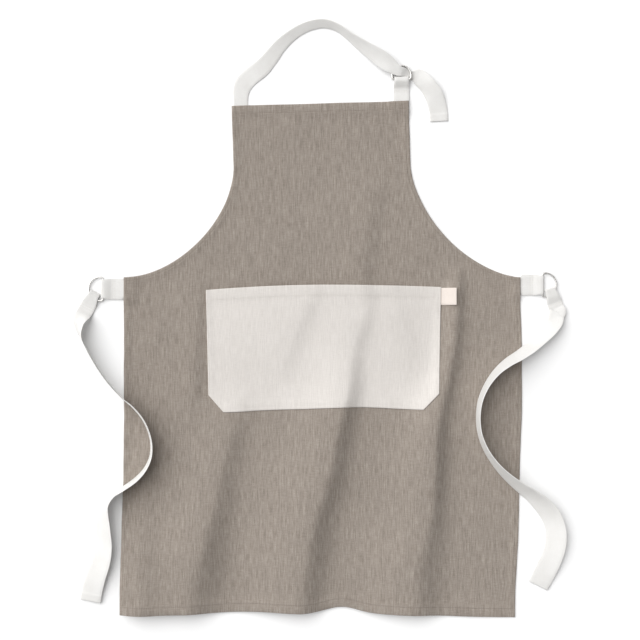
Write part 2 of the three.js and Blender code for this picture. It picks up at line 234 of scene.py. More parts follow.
def tape_finish(name, body, shade):
    """Cotton twill tape in herringbone; the pattern follows the tape."""
    made = Finish(name, roughness=0.88, sheen=0.1)
    along, across = made.split("UV")
    ribs = made.sum("PINGPONG", across, 0.0045)
    slant = made.sum("ADD", along, made.sum("MULTIPLY", ribs, 1.2))
    twill = made.sum("SINE", made.sum("MULTIPLY", slant, 2 * math.pi / 0.0013))
    yarn = made.noise(made.place(along, across), scale=900, detail=3)
    worn = made.noise(made.place(along, across), scale=35, detail=3)
    mark = made.sum("ADD", made.between(twill, -1, 1, 0, 0.35), made.between(yarn, 0.3, 0.7, 0, 0.3))
    mark = made.sum("ADD", mark, made.between(worn, 0.35, 0.75, 0, 0.35))
    made.put(made.shader.inputs["Base Color"], made.mix(mark, body, shade))
    made.bump(made.sum("ADD", twill, made.sum("MULTIPLY", yarn, 2.0)), 0.00012, 0.7)
    return made.material


def thread_finish(name, body, shade):
    """Twisted sewing thread, the grooves of its twist painted darker as painted shade."""
    made = Finish(name, roughness=0.75, sheen=0.05)
    x, y = made.split("Object")
    twist = made.sum("SINE", made.sum("MULTIPLY", made.sum("ADD", x, y), 2 * math.pi / 0.0007))
    # Painted shade: where the twist sits lowest, in its grooves, the thread takes the darker colour.
    made.put(made.shader.inputs["Base Color"], made.mix(made.between(twist, -1, 1), shade, body))
    made.bump(twist, 0.00006, 0.6)
    return made.material


def wire_finish(name):
    """Nickel wire with faint drawing marks and handling dullness."""
    made = Finish(name, roughness=0.3, metallic=1.0)
    x, y = made.split("Object")
    smear = made.noise(made.place(x, y), scale=160, detail=4)
    made.put(made.shader.inputs["Base Color"],
             made.mix(made.between(smear, 0.3, 0.7), colour(206, 204, 201), colour(234, 232, 229)))
    made.put(made.shader.inputs["Roughness"], made.between(smear, 0.3, 0.7, 0.22, 0.42))
    made.bump(made.noise(made.place(x, y), scale=1400, detail=2), 0.00003, 0.5)
    return made.material


panel_cloth = linen_finish("panel_linen", colour(122, 111, 101), colour(181, 171, 161), 0.0009, 0.20, 0.065)
pocket_cloth = linen_finish("pocket_linen", colour(213, 207, 201), colour(237, 232, 227), 0.0009, 0.22, 0.020)
cotton_tape = tape_finish("cotton_tape", colour(239, 238, 236), colour(223, 221, 217))
label_tape = tape_finish("label_tape", colour(236, 226, 218), colour(222, 211, 202))
# Each thread's second, darker colour is the painted shade in the grooves of its twist.
panel_thread = thread_finish("panel_thread", colour(150, 140, 130), colour(112, 102, 93))
pale_thread = thread_finish("pale_thread", colour(236, 232, 226), colour(205, 199, 191))
ring_wire = wire_finish("ring_wire")

floor_finish = Finish("floor", roughness=0.9)
floor_finish.shader.inputs["Base Color"].default_value = (0.97, 0.97, 0.97, 1)
floor_mesh = bpy.data.meshes.new("floor")
floor_reach, floor_height = 3.0, -0.0003
floor_mesh.from_pydata(
    [(x * floor_reach, y * floor_reach, floor_height) for x, y in ((-1, -1), (1, -1), (1, 1), (-1, 1))],
    [], [(0, 1, 2, 3)])
floor_mesh.materials.append(floor_finish.material)
floor = bpy.data.objects.new("floor", floor_mesh)
scene.collection.objects.link(floor)


# ---- mesh helpers --------------------------------------------------------------------------------
def make_piece(name, points, faces, material, flat_faces=(), uv=None):
    """A mesh object at the origin, with its place in its points."""
    mesh = bpy.data.meshes.new(name)
    mesh.from_pydata([tuple(p) for p in points], [], [tuple(f) for f in faces])
    mesh.materials.append(material)
    mesh.polygons.foreach_set("use_smooth", [True] * len(mesh.polygons))
    for index in flat_faces:
        mesh.polygons[index].use_smooth = False
    if uv is not None:
        layer = mesh.uv_layers.new(name="UVMap")
        corners = np.zeros(len(mesh.loops), int)
        mesh.loops.foreach_get("vertex_index", corners)
        layer.data.foreach_set("uv", np.asarray(uv, float)[corners].ravel())
    mesh.validate()
    piece = bpy.data.objects.new(name, mesh)
    scene.collection.objects.link(piece)
    return piece


def curve_through(rows, steps, tension=None):
    """A smooth curve through rows of numbers, steps to each span; centripetal unless a tension is given."""
    rows = np.asarray(rows, float)
    rows = np.vstack([2 * rows[0] - rows[1], rows, 2 * rows[-1] - rows[-2]])
    made = []
    for i in range(1, len(rows) - 2):
        p0, p1, p2, p3 = rows[i - 1:i + 3]
        if tension is None:
            d0, d1, d2 = (max(np.sum((b - a) ** 2), 1e-12) ** 0.25 for a, b in ((p0, p1), (p1, p2), (p2, p3)))
            t1 = ((p1 - p0) / d0 - (p2 - p0) / (d0 + d1) + (p2 - p1) / d1) * d1
            t2 = ((p2 - p1) / d1 - (p3 - p1) / (d1 + d2) + (p3 - p2) / d2) * d1
        else:
            t1, t2 = tension * (p2 - p0), tension * (p3 - p1)
        shares = np.arange(steps)[:, None] / steps
        made.append(p1 + t1 * shares + (-3 * p1 + 3 * p2 - 2 * t1 - t2) * shares ** 2
                    + (2 * p1 - 2 * p2 + t1 + t2) * shares ** 3)
    made.append(rows[-2][None])
    return np.vstack(made)


def walk(line):
    """How far along a line each of its points lies."""
    return np.concatenate([[0], np.cumsum(np.linalg.norm(np.diff(line, axis=0), axis=1))])


def unit(vectors):
    return vectors / np.maximum(np.linalg.norm(vectors, axis=-1, keepdims=True), 1e-12)


# ---- how the cloth lies --------------------------------------------------------------------------
# Each fold: the line where it falls away steepest, its height, and its spread left and right of the crest.
# In order: the skirt's left, middle and right folds, the pocket's left edge, and the lower left corner.
folds = [
    ([(-0.118, -0.050), (-0.138, -0.115), (-0.157, -0.190), (-0.171, -0.266), (-0.187, -0.342),
      (-0.203, -0.432)],
     [0, 0.008, 0.013, 0.019, 0.025, 0.024], [0.025, 0.035, 0.045, 0.05, 0.055, 0.055],
     [0.014, 0.016, 0.018, 0.021, 0.026, 0.029]),
    ([(0.096, 0.330), (0.093, 0.252), (0.078, 0.142), (0.082, 0.081), (0.062, 0.013), (0.054, -0.059),
      (0.043, -0.104), (0.024, -0.206), (-0.001, -0.291), (-0.019, -0.432)],
     [0, 0.004, 0.006, 0.005, 0.007, 0.016, 0.020, 0.023, 0.023, 0.022],
     [0.03, 0.03, 0.035, 0.035, 0.035, 0.04, 0.045, 0.05, 0.05, 0.05],
     [0.014, 0.014, 0.013, 0.012, 0.013, 0.014, 0.015, 0.019, 0.020, 0.022]),
    ([(0.238, 0.160), (0.236, 0.116), (0.233, 0.048), (0.222, -0.030), (0.204, -0.115), (0.200, -0.190),
      (0.198, -0.258), (0.190, -0.305), (0.182, -0.350), (0.178, -0.432)],
     [0, 0.010, 0.011, 0.014, 0.022, 0.021, 0.017, 0.018, 0.021, 0.020],
     [0.012, 0.012, 0.014, 0.016, 0.03, 0.04, 0.045, 0.05, 0.05, 0.05],
     [0.008, 0.008, 0.009, 0.010, 0.0125, 0.0125, 0.015, 0.020, 0.024, 0.026]),
    ([(-0.198, 0.150), (-0.203, 0.090), (-0.207, 0.020), (-0.210, -0.060), (-0.218, -0.120)],
     [0, 0.0035, 0.0045, 0.004, 0], [0.02, 0.02, 0.022, 0.025, 0.025], [0.009, 0.009, 0.010, 0.011, 0.012]),
    ([(-0.292, -0.200), (-0.292, -0.270), (-0.292, -0.345), (-0.290, -0.432)],
     [0, 0.006, 0.014, 0.021], [0.03, 0.035, 0.035, 0.035], [0.018, 0.021, 0.025, 0.027]),
]
# Slow waves over the whole cloth: direction, length and phase. Each is this much of its length high.
wave_height = 0.0038
waves = [(chance.uniform(0, 2 * math.pi), chance.uniform(0.07, 0.24), chance.uniform(0, 2 * math.pi))
         for _ in range(16)]


fold_fade = 0.03                # how far past its ends a fold dies away


def fold_rise(x, y, line, heights, left, right):
    """How far one fold lifts the cloth at each place."""
    path = curve_through(line, 4)
    nearest = np.full(x.shape, 1e9)
    side, share, beyond = (np.zeros(x.shape) for _ in range(3))
    for i in range(len(path) - 1):
        start, step = path[i], path[i + 1] - path[i]
        length = np.hypot(*step)
        raw = ((x - start[0]) * step[0] + (y - start[1]) * step[1]) / length ** 2
        t = np.clip(raw, 0, 1)
        away_x, away_y = x - start[0] - t * step[0], y - start[1] - t * step[1]
        far = np.hypot(away_x, away_y)
        closer = far < nearest
        nearest = np.where(closer, far, nearest)
        across = ((y - start[1]) * step[0] - (x - start[0]) * step[1]) / length
        side = np.where(closer, across, side)
        share = np.where(closer, (i + t) / (len(path) - 1), share)
        beyond = np.where(closer, np.abs(raw - t) * length, beyond)
    height, wide, steep = (np.interp(share, np.linspace(0, 1, len(v)), v) for v in (heights, left, right))
    from_crest = side + steep
    spread = np.where(from_crest < 0, wide, steep)
    return height * np.exp(-0.5 * (from_crest / spread) ** 2) * hump(beyond, 0, fold_fade)


doubled_tape, single_tape = 0.0032, 0.0017     # how far the tapes behind the panel's edge lift it
tuck_fade = 0.022               # over what length past a tucked tape's end that lift fades


def tape_rise(x, y):
    """The panel's edge is lifted where tapes are sewn in behind it."""
    rise = np.zeros(x.shape)
    end_x, end_y = skirt - tuck, top - tuck
    for name, sign in (("left_waist_tab", -1), ("right_waist_tab", 1)):
        low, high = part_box(name)
        beside = ease(0.014, 0, np.maximum(low.y - y, y - high.y))
        rise = np.maximum(rise, doubled_tape * beside * ease(end_x - tuck_fade, end_x, sign * x))
    low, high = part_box("neck_ring_tab")
    beside = ease(0.012, 0, np.maximum(low.x - x, x - high.x))
    rise = np.maximum(rise, doubled_tape * beside * ease(end_y - tuck_fade, end_y, y))
    low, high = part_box("neck_strap")
    beside = ease(0.010, 0, np.abs(x - low.x - 0.012) - 0.012)
    return np.maximum(rise, single_tape * beside * ease(end_y - tuck_fade, end_y, y))


def lie(x, y):
    """How high the cloth's underside lies above the surface."""
    x, y = np.asarray(x, float), np.asarray(y, float)
    rise = np.zeros(x.shape)
    for turn, length, phase in waves:
        rise += length * wave_height * np.sin(
            2 * math.pi * (x * math.cos(turn) + y * math.sin(turn)) / length + phase) / 2
    # The waves flatten towards the sides and the top, and never dip below the surface.
    calm = ease(skirt - 0.006, skirt - 0.09, np.abs(x)) * ease(top, top - 0.06, y)
    rise = 0.5 * (rise + np.sqrt(rise ** 2 + 0.0006 ** 2)) * (0.25 + 0.75 * calm)
    for fold in folds:
        rise += fold_rise(x, y, *fold)
    return rise + tape_rise(x, y)


# ---- the panel -----------------------------------------------------------------------------------
# Points along each stretch of the panel's outline.
counts = {"bib": 28, "armhole": 76, "side": 144, "half_hem": 86, "top": 76}


def upright(x, heights):
    """A straight line of points up or down the panel."""
    return np.stack([np.full(heights.shape, x), heights], 1)


def outline(side, wide):
    """Once round the panel from the bib's right corner, drawn in by the side hem and the wide hems."""
    centre_y = top - bib_side
    reach_x, reach_y = skirt - bib + side, centre_y - skirt_side_top + side
    halves = []
    for power in (1.205, 1.11):     # how full each armhole's curve is, right and left
        along = np.arange(counts["bib"]) / counts["bib"]
        straight = upright(bib - side, top - wide + (centre_y - top + wide) * along)
        last = math.acos((side / reach_x) ** (1 / power)) if side else math.pi / 2
        angle = last * np.arange(counts["armhole"]) / counts["armhole"]
        curve = np.stack(
            [skirt - reach_x * np.cos(angle) ** power, centre_y - reach_y * np.sin(angle) ** power], 1)
        corner_y = centre_y - reach_y * math.sin(last) ** power
        along = np.arange(counts["side"]) / counts["side"]
        edge = upright(skirt - side, corner_y + (bottom + wide - corner_y) * along)
        along = np.arange(counts["half_hem"]) / counts["half_hem"]
        hem = np.stack([(skirt - side) * (1 - along), np.full(along.shape, bottom + wide)], 1)
        halves.append(np.vstack([straight, curve, edge, hem]))
    right, left = halves
    left = np.vstack([left, [[0, bottom + wide]]])[::-1] * (-1, 1)
    along = np.arange(1, counts["top"]) / counts["top"]
    across = np.stack([(bib - side) * (2 * along - 1), np.full(along.shape, top - wide)], 1)
    return cut(np.vstack([right, left, across]))


def cut(points):
    """The panel isn't quite true: its bib leans, its sides draw in and its hem waves."""
    x, y = points[:, 0].copy(), points[:, 1].copy()
    high = ease(0.30, 0.43, y)
    rightward, leftward = np.clip(x / skirt, 0, 1) ** 1.5, np.clip(-x / skirt, 0, 1) ** 1.5
    draw_right = -0.003 * ease(0.0, 0.12, y) - 0.005 * ease(-0.05, -0.25, y) - 0.007 * ease(-0.25, -0.43, y)
    draw_left = 0.0015 - 0.005 * ease(-0.1, -0.43, y)
    low = ease(-0.30, -0.43, y)
    hem = (0.0028 * hump(x, -0.1, 0.09) + 0.0100 * hump(x, 0.034, 0.036) - 0.0075 * ease(0.08, 0.32, x)
           - 0.0015 * hump(x, -0.3, 0.05))
    ragged = 0.0002 * np.sin(y / 0.019) + 0.0001 * np.sin(y / 0.0083 + 1)
    new_x = x - 0.0035 * high + rightward * draw_right + leftward * draw_left + ragged
    new_y = y + high * (-0.0025 + 0.0042 * x / bib) + low * hem + 0.0002 * np.sin(x / 0.021)
    return np.stack([new_x, new_y], 1)


# Rings round the panel: distance in from the sides and from the wide hems, then the height of face and back.
rings = [
    (0, 0, 0.0011, 0.0011), (0.0003, 0.0003, 0.0018, 0.0004), (0.0010, 0.0012, 0.0022, 0),
    (0.0026, 0.0045, 0.0022, 0), (0.0042, 0.0090, 0.0022, 0), (0.0053, 0.0131, 0.0021, 0),
    (0.0060, 0.0140, 0.00178, 0), (0.0067, 0.0149, 0.0021, 0), (0.0076, 0.0156, 0.00216, 0),
    (0.0080, 0.0160, 0.00215, 0.0001), (0.0082, 0.0162, 0.00213, 0.00103), (0.0096, 0.0180, 0.0019, 0.0008),
    (0.0125, 0.0215, 0.0014, 0.0003), (0.0165, 0.0260, 0.0011, 0),
]
stitch_ring = 6                 # the one that the hem's stitches follow
ring_points = [outline(side, wide) for side, wide, _, _ in rings]
ring_count = len(ring_points[0])


def inside(points, loop):
    """Which points lie inside a closed loop."""
    found = np.zeros(len(points), bool)
    for (x1, y1), (x2, y2) in zip(loop, np.roll(loop, -1, axis=0)):
        if y1 != y2:
            crosses = (points[:, 1] > min(y1, y2)) & (points[:, 1] <= max(y1, y2))
            at = x1 + (points[:, 1] - y1) / (y2 - y1) * (x2 - x1)
            found ^= crosses & (points[:, 0] < at)
    return found


def fill(loop, spacing):
    """Points spread evenly inside a loop, and the triangles that join them to it."""
    columns = np.arange(loop[:, 0].min(), loop[:, 0].max(), spacing)
    lines = np.arange(loop[:, 1].min(), loop[:, 1].max(), spacing * 0.866)
    grid = np.array([(x + (k % 2) * spacing / 2, y) for k, y in enumerate(lines) for x in columns])
    grid = grid[inside(grid, loop)]
    clear = np.full(len(grid), 1e9)
    for place in loop:
        clear = np.minimum(clear, np.hypot(*(grid - place).T))
    grid = grid[clear > spacing * 0.6]
    every = np.vstack([loop, grid])
    count = len(loop)
    edges = [(i, (i + 1) % count) for i in range(count)]
    verts, _, faces, _, _, _ = delaunay_2d_cdt(
        [Vector(p) for p in every], edges, [list(range(count))[::-1]], 1, 1e-7)
    return np.array([tuple(v) for v in verts]), [tuple(f) for f in faces]


def upward(points, faces):
    """The same faces, each turned to face up."""
    made = []
    for face in faces:
        a, b, c = (points[i] for i in face[:3])
        turned = (b[0] - a[0]) * (c[1] - a[1]) - (b[1] - a[1]) * (c[0] - a[0])
        made.append(tuple(face) if turned > 0 else tuple(face)[::-1])
    return made


def build_panel():
    """The panel's cloth: rings as thick as the hems round an even web, and the same again for its back."""
    middle, middle_faces = fill(ring_points[-1], spacing=0.0043)
    walked = walk(ring_points[stitch_ring])
    pucker = (np.sin(walked * 2 * math.pi / 0.013) + np.sin(walked * 2 * math.pi / 0.0087 + 1)
              + np.sin(walked * 2 * math.pi / 0.031 + 2) + 3) * 0.00005
    front, back = [], []
    for k, (place, (side, _, face, under)) in enumerate(zip(ring_points, rings)):
        rise = lie(place[:, 0], place[:, 1]) + pucker * ease(0, 0.004, side) * ease(0.0165, 0.009, side)
        front.append(np.column_stack([place, rise + face]))
        back.append(np.column_stack([place, rise + under]))
    rise = lie(middle[:, 0], middle[:, 1])[ring_count:]
    front.append(np.column_stack([middle[ring_count:], rise + cloth]))
    back.append(np.column_stack([middle[ring_count:], rise]))
    front, back = np.vstack(front), np.vstack(back)[ring_count:]
    total = len(front)
    inner = (len(rings) - 1) * ring_count
    top_faces = [tuple(i + inner for i in face) for face in middle_faces]
    for k in range(len(rings) - 1):
        here, there = k * ring_count, (k + 1) * ring_count
        for i in range(ring_count):
            j = (i + 1) % ring_count
            top_faces.append((here + i, here + j, there + j, there + i))
    top_faces = upward(front, top_faces)
    below = [tuple(i if i < ring_count else i + total - ring_count for i in face)[::-1] for face in top_faces]
    return make_piece(
        "apron_panel_cloth", np.vstack([front, back]), top_faces + below, panel_cloth)


panel = build_panel()
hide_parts("apron_panel")
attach(panel, "apron")


# ---- the pocket ----------------------------------------------------------------------------------
pocket_folds = [
    ([(-0.012, 0.100), (-0.016, 0.091), (-0.040, 0.032), (-0.064, -0.028), (-0.080, -0.060)],
     [0.002, 0.0035, 0.0035, 0.002, 0], [0.04, 0.05], [0.010, 0.014]),
    ([(0.132, 0.110), (0.140, 0.080), (0.155, 0.020), (0.160, -0.040)],
     [0.001, 0.003, 0.003, 0], [0.03, 0.035], [0.013, 0.016]),
]


pocket_seam_fold, pocket_hem_fold = 0.0007, 0.0009     # what its turned edges add to the cloth
stitch_dent = 0.0003            # how far a line of stitches pulls it in
label_lift = 0.0011             # how far the label caught under its edge lifts it


def true_pocket(across, y):
    """Where a point of the pocket lies once it is sewn on, a little askew."""
    share_up = (y - pocket_bottom) / (pocket_top - pocket_bottom)
    rightward, leftward = (np.clip(v / pocket_half, 0, 1) for v in (across, -across))
    x = (pocket_middle + across + leftward * (0.007 - 0.005 * share_up)
         + rightward * (-0.0015 + 0.005 * share_up))
    lift = (1 - share_up) * (0.0045 * hump(across, 0.05, 0.08) - 0.004 * hump(across, -0.17, 0.06))
    drop = share_up * (-0.0025 - 0.002 * leftward + 0.003 * rightward ** 2)
    return x, y + lift + drop


def mouth_at(across):
    """The pocket's slack top edge."""
    return pocket_top + pocket_crown * (1 - (across / pocket_half) ** 2)


def foot_at(across):
    """The pocket's bottom edge with its clipped corners."""
    past = np.maximum(0, np.abs(across) - (pocket_half - pocket_clip))
    return pocket_bottom + pocket_clip_rise * past / pocket_clip


def stand_off(across, share_up):
    """How far the pocket gapes from the panel."""
    within = np.minimum(1, np.abs(across) / (pocket_half - pocket_seam))
    return pocket_gape * (1 - within ** 2) * ease(0.15, 1, share_up)


def pocket_underside(across, y):
    """The place of the pocket's underside, and how far in from its sewn edge it is."""
    share_up = (y - pocket_bottom) / (mouth_at(across) - pocket_bottom)
    x, new_y = true_pocket(across, y)
    slope = math.hypot(pocket_clip, pocket_clip_rise)
    edge = np.minimum(pocket_half - np.abs(across), y - pocket_bottom)
    edge = np.minimum(edge, (y - foot_at(across)) * pocket_clip / slope)
    rise = lie(x, new_y) + cloth + gap + stand_off(across, share_up)
    loose = ease(0.004, 0.05, edge)
    for fold in pocket_folds:
        rise += loose * fold_rise(x, new_y, *fold)
    over_label = ease(0.170, 0.192, across) * ease(0.075, 0.092, y)
    rise += label_lift * over_label
    return x, new_y, rise, edge


def spaced(length, step):
    """Distances along a length, close together at both ends, where a sewn edge rolls over."""
    close = [0, 0.0003, 0.001, 0.0023, 0.003, 0.0037, 0.006, 0.009]
    count = int((length - 2 * close[-1]) / step)
    middle = list(np.linspace(close[-1], length - close[-1], count + 1))[1:-1]
    return np.array(close + middle + [length - v for v in reversed(close)])


def build_pocket():
    """The pocket's cloth, thicker at its hem and seams, closed all round its rim."""
    columns = spaced(2 * pocket_half, step=0.0042) - pocket_half
    shares = spaced(pocket_top - pocket_bottom, step=0.004) / (pocket_top - pocket_bottom)
    across = np.repeat(columns[:, None], len(shares), axis=1)
    y = foot_at(across) + (mouth_at(across) - foot_at(across)) * shares[None]
    x, new_y, rise, edge = pocket_underside(across, y)
    from_mouth = mouth_at(across) - y
    border = np.minimum(edge, from_mouth)
    seam = pocket_seam_fold * ease(0.013, 0.008, edge) - stitch_dent * hump(edge, seam_line, 0.0006)
    hem = pocket_hem_fold * ease(pocket_hem + 0.004, pocket_hem - 0.001, from_mouth)
    hem -= stitch_dent * hump(from_mouth, pocket_hem, 0.0011)
    thick = cloth + np.maximum(seam, hem)
    roll = np.sqrt(np.clip(border / 0.001, 0, 1))
    middle = rise + thick / 2
    face, under = middle + roll * thick / 2, middle - roll * thick / 2
    rows, lines = across.shape
    front = np.stack([x, new_y, face], 2).reshape(-1, 3)
    back = np.stack([x, new_y, under], 2).reshape(-1, 3)
    number = np.arange(rows * lines).reshape(rows, lines)
    rim = np.zeros((rows, lines), bool)
    rim[[0, -1], :] = rim[:, [0, -1]] = True
    behind = number + rows * lines
    behind[rim] = number[rim]
    quads = []
    for sheet, flip in ((number, False), (behind, True)):
        corners = np.stack([sheet[:-1, :-1], sheet[1:, :-1], sheet[1:, 1:], sheet[:-1, 1:]], 2).reshape(-1, 4)
        quads += [tuple(q[::-1]) if flip else tuple(q) for q in corners.tolist()]
    points = np.vstack([front, back])
    used = np.unique(np.array(quads))
    renumber = np.zeros(len(points), int)
    renumber[used] = np.arange(len(used))
    quads = [tuple(renumber[list(q)].tolist()) for q in quads]
    return make_piece("pocket_cloth", points[used], quads, pocket_cloth)


pocket = build_pocket()
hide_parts("pocket")
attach(pocket, "apron")


# ---- tapes ---------------------------------------------------------------------------------------
def strip(name, centre, across, width, material, nominal, thick=tape):
    """A flat tape with rounded edges through stations; its pattern runs by length and width."""
    count = len(centre)
    thick = np.broadcast_to(thick, count)
    centre = centre + np.outer((thick - tape).clip(0) / 2, [0, 0, 1])
    along = unit(np.gradient(centre, axis=0))
    across = unit(across - np.sum(across * along, axis=1, keepdims=True) * along)
    normal = np.cross(along, across)
    lanes = np.linspace(-1, 1, 7)
    lanes = list(zip(lanes, [-1] * 7)) + [(1, a) for a in (-0.5, 0, 0.5)]
    lanes += [(-s, 1) for s, _ in lanes[:7]] + [(-1, a) for a in (0.5, 0, -0.5)]
    sections, uv = [], []
    length = walk(centre)
    for share, level in lanes:
        rounded = math.sqrt(1 - level * level)
        reach = share * (width / 2 - thick / 2) + share * rounded * thick / 2
        sections.append(centre + across * reach[:, None] + normal * (level * thick / 2)[:, None])
        uv.append(np.stack([length, np.full(count, share * nominal / 2)], 1))
    ring = len(lanes)
    points = np.stack(sections, 1).reshape(-1, 3)
    marks = np.stack(uv, 1).reshape(-1, 2)
    faces = []
    for i in range(count - 1):
        for k in range(ring):
            m = (k + 1) % ring
            faces.append((i * ring + k, i * ring + m, (i + 1) * ring + m, (i + 1) * ring + k))
    sides = len(faces)
    last = (count - 1) * ring
    faces += [tuple(range(ring))[::-1], tuple(last + k for k in range(ring))]
    return make_piece(name, points, faces, material, (sides, sides + 1), marks)


panel_edge = ring_points[0]


def bed(x, y):
    """The height of what lies under a tape: the panel with its hems, or the surface."""
    place = np.column_stack([x, y])
    on_panel = inside(place, panel_edge)
    return np.where(on_panel, lie(x, y) + hem_height + gap, floor_gap)


stiffness = 0.007               # a tape's height is evened out over about this length


def settled(centre, across, width, lean, lift):
    """The same stations at the height where the tape just clears whatever lies under it."""
    needed = np.full(len(centre), -1.0)
    for share in np.linspace(-1, 1, 9):
        place = centre + across * (share * width / 2)[:, None]
        under = np.maximum(bed(place[:, 0], place[:, 1]), floor_gap + lift)
        needed = np.maximum(needed, under + tape * np.cos(lean) / 2 - share * width / 2 * np.sin(lean))
    walked = walk(centre)
    eased = needed.copy()
    for i, here in enumerate(walked):
        near = np.abs(walked - here) < 2 * stiffness
        weight = hump(walked[near], here, stiffness)
        highest = np.array([needed[np.abs(walked - w) < stiffness].max() for w in walked[near]])
        eased[i] = np.sum(weight * highest) / np.sum(weight)
    floor_level = floor_gap + (width * np.sin(lean) + tape * np.cos(lean)) / 2
    hold = ease(0, 0.01, walked)
    settled_z = np.maximum(eased, floor_level) * hold + floor_level * (1 - hold)
    return np.column_stack([centre[:, :2], settled_z])


def laid(rows, width):
    """Stations of a tape along rows of x, y, lean from flat in degrees, lift and width."""
    full = [tuple(row) + (0.0, width)[len(row) - 3:] for row in rows]
    place = curve_through([row[:2] for row in full], 12)
    manner = curve_through([(row[2], row[3] * 1000, row[4] * 1000) for row in full], 12, 0.4)
    lean = np.radians(np.maximum(0, manner[:, 0]))
    centre = np.column_stack([place, np.zeros(len(place))])
    along = unit(np.gradient(centre, axis=0))
    level = np.cross([0, 0, 1], along)
    across = level * np.cos(lean)[:, None] + np.array([0, 0, 1]) * np.sin(lean)[:, None]
    own_width = manner[:, 2] / 1000
    centre = settled(centre, across, own_width, lean, np.maximum(0, manner[:, 1] / 1000))
    return centre, across, own_width


def folded(stack, fold_width, width, open_length, slope, length):
    """A tape doubled round wires, upper layer first: distance from its fold and height, and its widths."""
    low = floor_gap + tape / 2
    high = low + stack + 2 * gap + tape
    radius = (high - low) / 2
    shut = low + tape + gap
    closed = open_length + slope
    upper = curve_through([
        (length, shut), (length * 0.5 + closed * 0.5, shut), (closed, shut),
        (open_length + slope * 0.45, shut + (high - shut) * 0.6), (open_length, high),
        (open_length * 0.4, high)], 8)
    turn = np.linspace(math.pi / 2, -math.pi / 2, 13)
    bend = np.stack([-radius * np.cos(turn), (low + high) / 2 + radius * np.sin(turn)], 1)
    lower = np.stack([np.linspace(open_length * 0.4, length, 24), np.full(24, low)], 1)
    path = np.vstack([upper, bend, lower])
    widths = fold_width + (width - fold_width) * ease(0, closed, path[:, 0])
    return path, widths


def placed(path, fold, heading):
    """Carries a folded tape's own plane to its place: its fold, and the way it leaves it."""
    heading = unit(np.array(heading, float))
    centre = np.column_stack(
        [fold[0] + path[:, 0] * heading[0], fold[1] + path[:, 0] * heading[1], path[:, 1]])
    across = np.tile([-heading[1], heading[0], 0], (len(path), 1))
    return centre, across


# Each tie: its fold inside the ring, the way it leaves it, and its route as distance out from the ring's bar,
# y, lean from flat, and where it matters lift and width.
bar_x = abs(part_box("left_waist_ring")[1].x) + wire / 2
fold_reach = 0.0136             # how far out from its ring's bar a tie's fold lies
loop_length, loop_width = 0.032, 0.026
loop_fold_width, loop_open, loop_slope = 0.018, 0.012, 0.012
waist = {
    "left": (-1, (-bar_x - fold_reach, 0.1108), (-0.47, -0.883), [
        (0.0363, 0.066, 34, 0, 0.029), (0.0376, 0.053, 60, 0, 0.033), (0.035, 0.036, 78),
        (0.023, 0.012, 84), (0.005, -0.019, 84),
        (-0.015, -0.046, 84), (-0.034, -0.066, 83), (-0.052, -0.081, 80), (-0.069, -0.101, 79),
        (-0.080, -0.124, 79), (-0.0845, -0.146, 79), (-0.083, -0.166, 79), (-0.074, -0.186, 79),
        (-0.059, -0.203, 79), (-0.039, -0.2175, 80), (-0.021, -0.229, 79), (-0.008, -0.243, 68),
        (-0.002, -0.262, 50), (-0.0025, -0.290, 42), (-0.003, -0.318, 34), (0.002, -0.345, 26),
        (0.011, -0.370, 18), (0.018, -0.395, 10), (0.021, -0.412, 4)]),
    "right": (1, (bar_x + fold_reach, 0.1166), (0.34, -0.94), [
        (0.0245, 0.0745, 12, 0, 0.026), (0.0215, 0.063, 24, 0, 0.027), (0.0157, 0.054, 34, 0, 0.028),
        (0.0085, 0.0455, 42, 0, 0.029), (-0.001, 0.0365, 48, 0, 0.030), (-0.018, 0.0215, 54, 0, 0.031),
        (-0.040, 0.006, 62, 0, 0.033), (-0.060, -0.006, 70), (-0.080, -0.023, 77), (-0.096, -0.045, 82),
        (-0.107, -0.071, 84), (-0.1105, -0.098, 85), (-0.108, -0.125, 84), (-0.098, -0.152, 81),
        (-0.081, -0.178, 76), (-0.060, -0.200, 68), (-0.040, -0.216, 60), (-0.020, -0.2305, 51),
        (-0.002, -0.246, 38), (0.013, -0.265, 28), (0.022, -0.288, 24), (0.0225, -0.314, 20),
        (0.015, -0.340, 13), (0.004, -0.364, 6), (-0.007, -0.386, 0)]),
}


def ahead(place, heading, distance):
    """A place this far along a heading."""
    return (place[0] + distance * heading[0], place[1] + distance * heading[1])


def tape_length(centre):
    return float(np.sum(np.linalg.norm(np.diff(centre, axis=0), axis=1)))


def hemmed(centre):
    """A tape's thickness along its length, greater over its turned-in end."""
    walked = walk(centre)
    return tape * (1 + 0.7 * ease(walked[-1] - end_hem - 0.0015, walked[-1] - end_hem, walked))


tie_stations, seam_at = {}, {}
for side, (sign, fold, heading, rows) in waist.items():
    route = [(*ahead(fold, heading, loop_length + gap + d), lean, 0, loop_width)
             for d, lean in ((0, 0), (0.007, 8))]
    route += [(sign * (bar_x + out), *rest) for out, *rest in rows]
    path, loop_widths = folded(wire, loop_fold_width, loop_width, loop_open, loop_slope, loop_length)
    loop_centre, loop_across = placed(path[::-1], fold, heading)
    loop_widths = loop_widths[::-1]
    seam_at[side] = tape_length(loop_centre)
    centre, across, widths = laid(route, tie_width)
    past_seam = np.hypot(*(centre[:, :2] - centre[0, :2]).T)
    centre[:, 2] += (tape + gap) * (1 - ease(0, 0.022, past_seam))
    centre, across = np.vstack([loop_centre, centre[1:]]), np.vstack([loop_across, across[1:]])
    widths = np.concatenate([loop_widths, widths[1:]])
    tie = strip(
        f"{side}_tie", centre, across, widths, cotton_tape, tie_width, hemmed(centre))
    tie_stations[side] = (centre, across, widths)
    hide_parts(f"{side}_tie_loop", f"{side}_waist_tie")
    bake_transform(tie)

